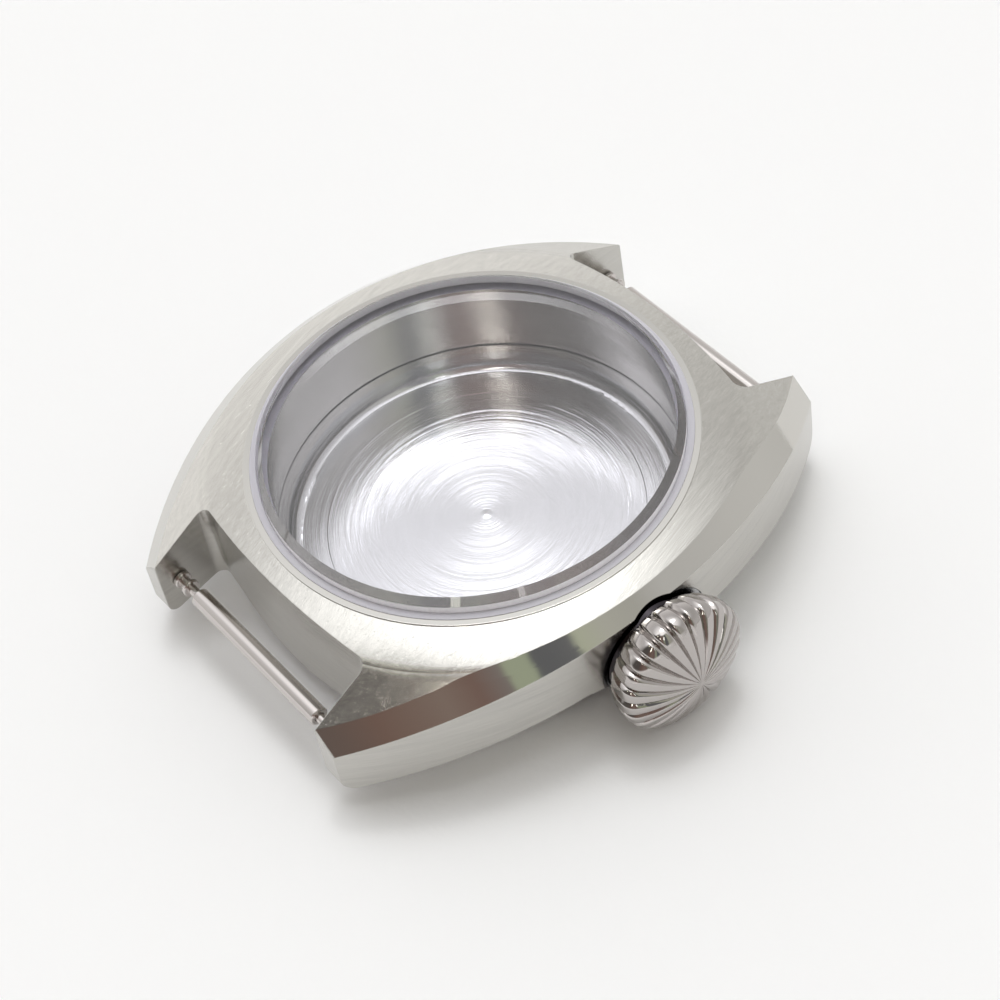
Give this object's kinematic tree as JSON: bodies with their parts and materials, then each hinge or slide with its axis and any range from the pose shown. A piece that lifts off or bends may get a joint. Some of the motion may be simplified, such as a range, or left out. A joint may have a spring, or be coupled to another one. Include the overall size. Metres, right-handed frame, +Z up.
{
  "type": "watch_case",
  "caption": "Empty steel wristwatch case with domed lugs, flat crystal, fluted crown, screwed back and sprung strap bars.",
  "frame": {"origin": "Middle of the case back's underside, the plane the watch case rests on.", "axes": "+Z up through the crystal, +X to the crown at 3 o'clock, +Y to the 12 o'clock lugs."},
  "size_m": [0.0446, 0.0458, 0.0129],
  "materials": {
    "brushed_steel": "satin, polished lip round the crystal",
    "polished_steel": "polished",
    "turned_steel": "fine turning rings",
    "spring_steel": "drawn wire",
    "crystal_glass": "clear, faintly violet",
    "clear_gasket": "translucent",
    "seal_rubber": "matt black"
  },
  "bodies": {
    "case": {"mid_case": "brushed_steel", "crystal": "crystal_glass", "crystal_gasket": "clear_gasket", "crown_tube": "turned_steel"},
    "seal": {"crown_seal": "seal_rubber"},
    "crown": {"crown": "polished_steel", "crown_washer": "turned_steel"},
    "back_ring": {"case_back_gasket": "seal_rubber"},
    "back": {"case_back": "turned_steel"},
    "bar_12": {"bar_12_tube": "polished_steel", "bar_12_spring": "spring_steel"},
    "bar_12_right": {"bar_12_pin_right": "polished_steel"},
    "bar_12_left": {"bar_12_pin_left": "polished_steel"},
    "bar_6": {"bar_6_tube": "polished_steel", "bar_6_spring": "spring_steel"},
    "bar_6_right": {"bar_6_pin_right": "polished_steel"},
    "bar_6_left": {"bar_6_pin_left": "polished_steel"}
  },
  "joints": [
    {"name": "crown_pull", "type": "slide", "parent": "case", "child": "seal", "axis": [1, 0, 0], "range_m": [0, 0.0011]},
    {"name": "crown_turn", "type": "hinge", "parent": "seal", "child": "crown", "pos_m": [0.0222, 0, 0.00555], "axis": [1, 0, 0], "continuous": true},
    {"name": "back_lift", "type": "slide", "parent": "case", "child": "back_ring", "axis": [0, 0, -1], "range_m": [0, 0.0018]},
    {"name": "back_turn", "type": "hinge", "parent": "back_ring", "child": "back", "pos_m": [0, 0, 0], "axis": [0, 0, -1], "range_deg": [0, 1298]},
    {"name": "bar_12_spin", "type": "hinge", "parent": "case", "child": "bar_12", "pos_m": [0, 0.0212, 0.0053], "axis": [1, 0, 0], "continuous": true},
    {"name": "bar_12_right_press", "type": "slide", "parent": "bar_12", "child": "bar_12_right", "axis": [-1, 0, 0], "range_m": [0, 0.0009], "stiffness_N_per_m": 600, "deforming": ["bar_12_spring"]},
    {"name": "bar_12_left_press", "type": "slide", "parent": "bar_12", "child": "bar_12_left", "axis": [1, 0, 0], "range_m": [0, 0.0009], "stiffness_N_per_m": 600, "deforming": ["bar_12_spring"]},
    {"name": "bar_6_spin", "type": "hinge", "parent": "case", "child": "bar_6", "pos_m": [0, -0.0212, 0.0053], "axis": [1, 0, 0], "continuous": true},
    {"name": "bar_6_right_press", "type": "slide", "parent": "bar_6", "child": "bar_6_right", "axis": [-1, 0, 0], "range_m": [0, 0.0009], "stiffness_N_per_m": 600, "deforming": ["bar_6_spring"]},
    {"name": "bar_6_left_press", "type": "slide", "parent": "bar_6", "child": "bar_6_left", "axis": [1, 0, 0], "range_m": [0, 0.0009], "stiffness_N_per_m": 600, "deforming": ["bar_6_spring"]}
  ],
  "couplings": [
    {"joint": "back_turn", "follows": "back_lift", "rad_per_m": 12566}
  ]
}
